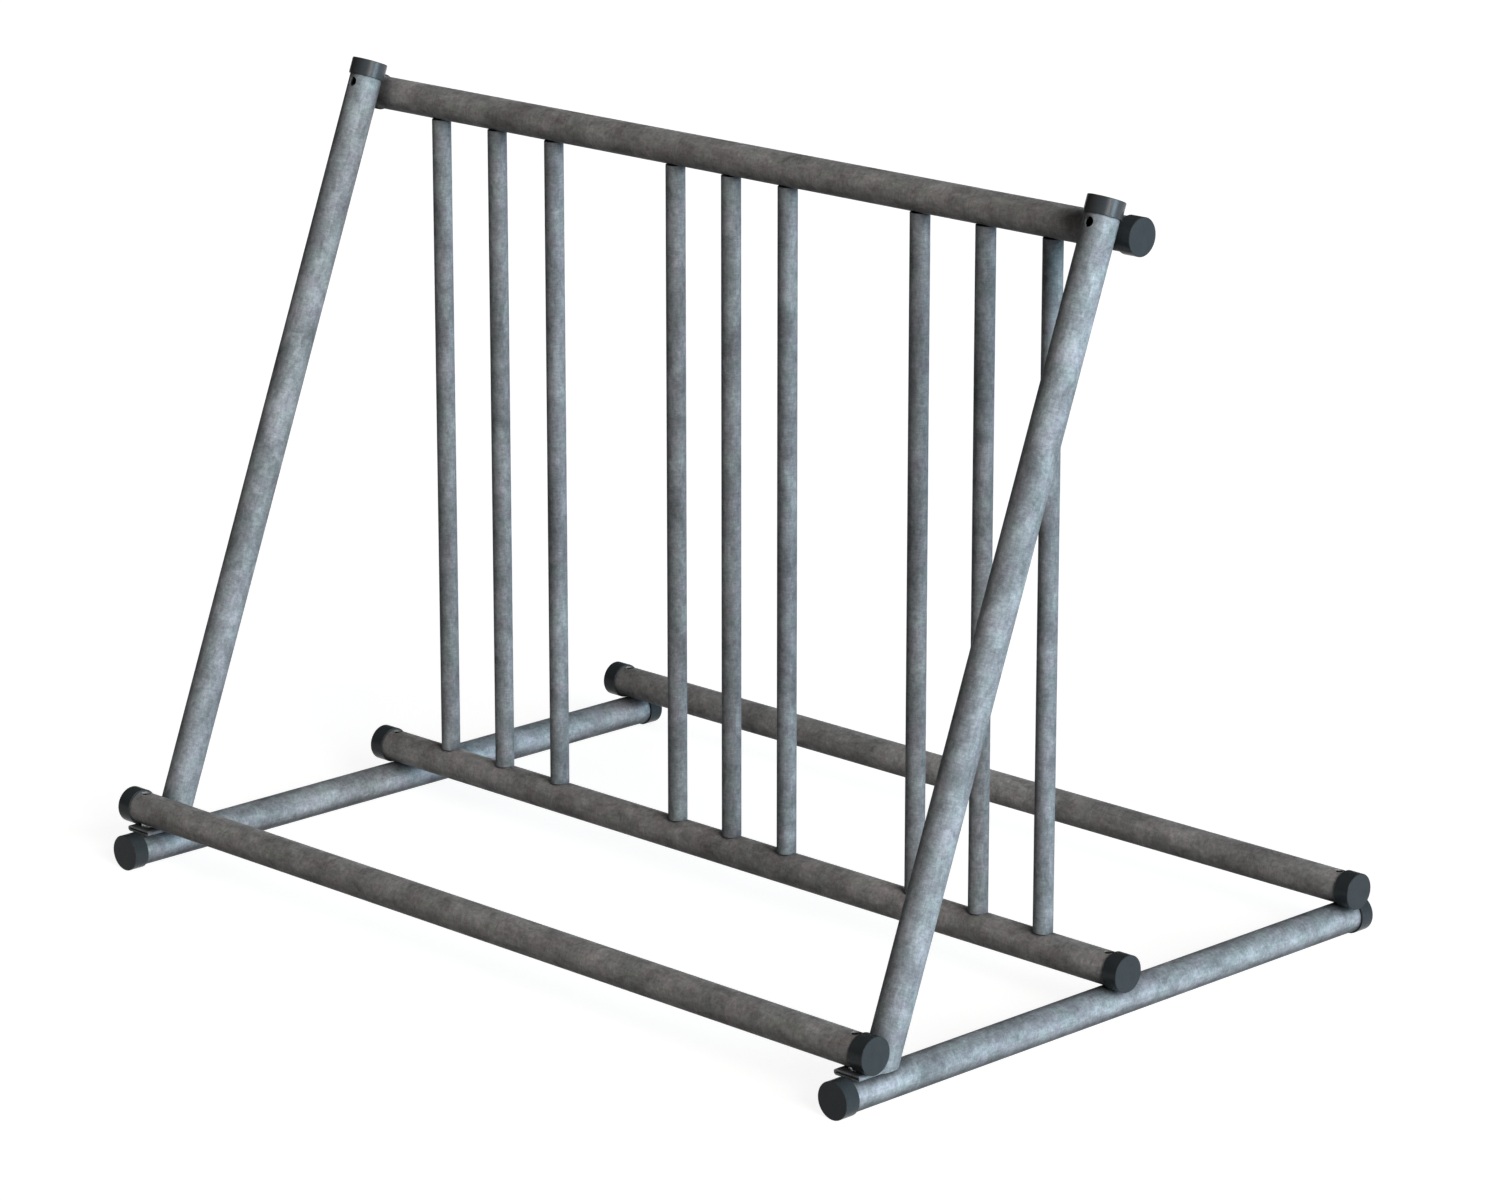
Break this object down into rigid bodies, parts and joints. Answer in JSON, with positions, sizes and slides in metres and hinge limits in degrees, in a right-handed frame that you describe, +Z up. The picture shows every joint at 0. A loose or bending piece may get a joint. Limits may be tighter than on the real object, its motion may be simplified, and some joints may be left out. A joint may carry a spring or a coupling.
{
  "type": "bicycle rack",
  "caption": "Single-sided floor rack for bicycles: galvanised round tube, upright pickets grouped between a middle rail and a raised top rail, two leaning legs, plastic end caps.",
  "frame": {"origin": "on the floor, midway along the rack and under the middle rail's axis", "axes": "+X along the rails to the right, seen from the side with the leaning legs; +Y from the front rail to the rear rail; +Z up"},
  "size_m": [1.5332, 1.0846, 1.1593],
  "materials": {
    "galvanised_steel": "hot-dip galvanised, dull, mottled grey",
    "cap_plastic": "satin moulded, dark grey",
    "zinc_plated": "bright zinc plate"
  },
  "bodies": {
    "root": {"base_tube_left": "galvanised_steel", "base_tube_right": "galvanised_steel", "front_rail": "galvanised_steel", "middle_rail": "galvanised_steel", "rear_rail": "galvanised_steel", "top_rail": "galvanised_steel", "leg_left": "galvanised_steel", "leg_right": "galvanised_steel", "picket_1": "galvanised_steel", "picket_2": "galvanised_steel", "picket_3": "galvanised_steel", "picket_4": "galvanised_steel", "picket_5": "galvanised_steel", "picket_6": "galvanised_steel", "picket_7": "galvanised_steel", "picket_8": "galvanised_steel", "picket_9": "galvanised_steel", "cap_base_left_front": "cap_plastic", "cap_base_left_rear": "cap_plastic", "cap_base_right_front": "cap_plastic", "cap_base_right_rear": "cap_plastic", "cap_front_rail_left": "cap_plastic", "cap_front_rail_right": "cap_plastic", "cap_middle_rail_left": "cap_plastic", "cap_middle_rail_right": "cap_plastic", "cap_rear_rail_left": "cap_plastic", "cap_rear_rail_right": "cap_plastic", "cap_top_rail_left": "cap_plastic", "cap_top_rail_right": "cap_plastic", "cap_leg_left": "cap_plastic", "cap_leg_right": "cap_plastic", "rail_screws": "zinc_plated", "front_screws": "zinc_plated", "top_screws": "zinc_plated", "saddle_washers": "zinc_plated", "saddle_nuts": "zinc_plated", "front_saddles": "zinc_plated"}
  },
  "joints": []
}
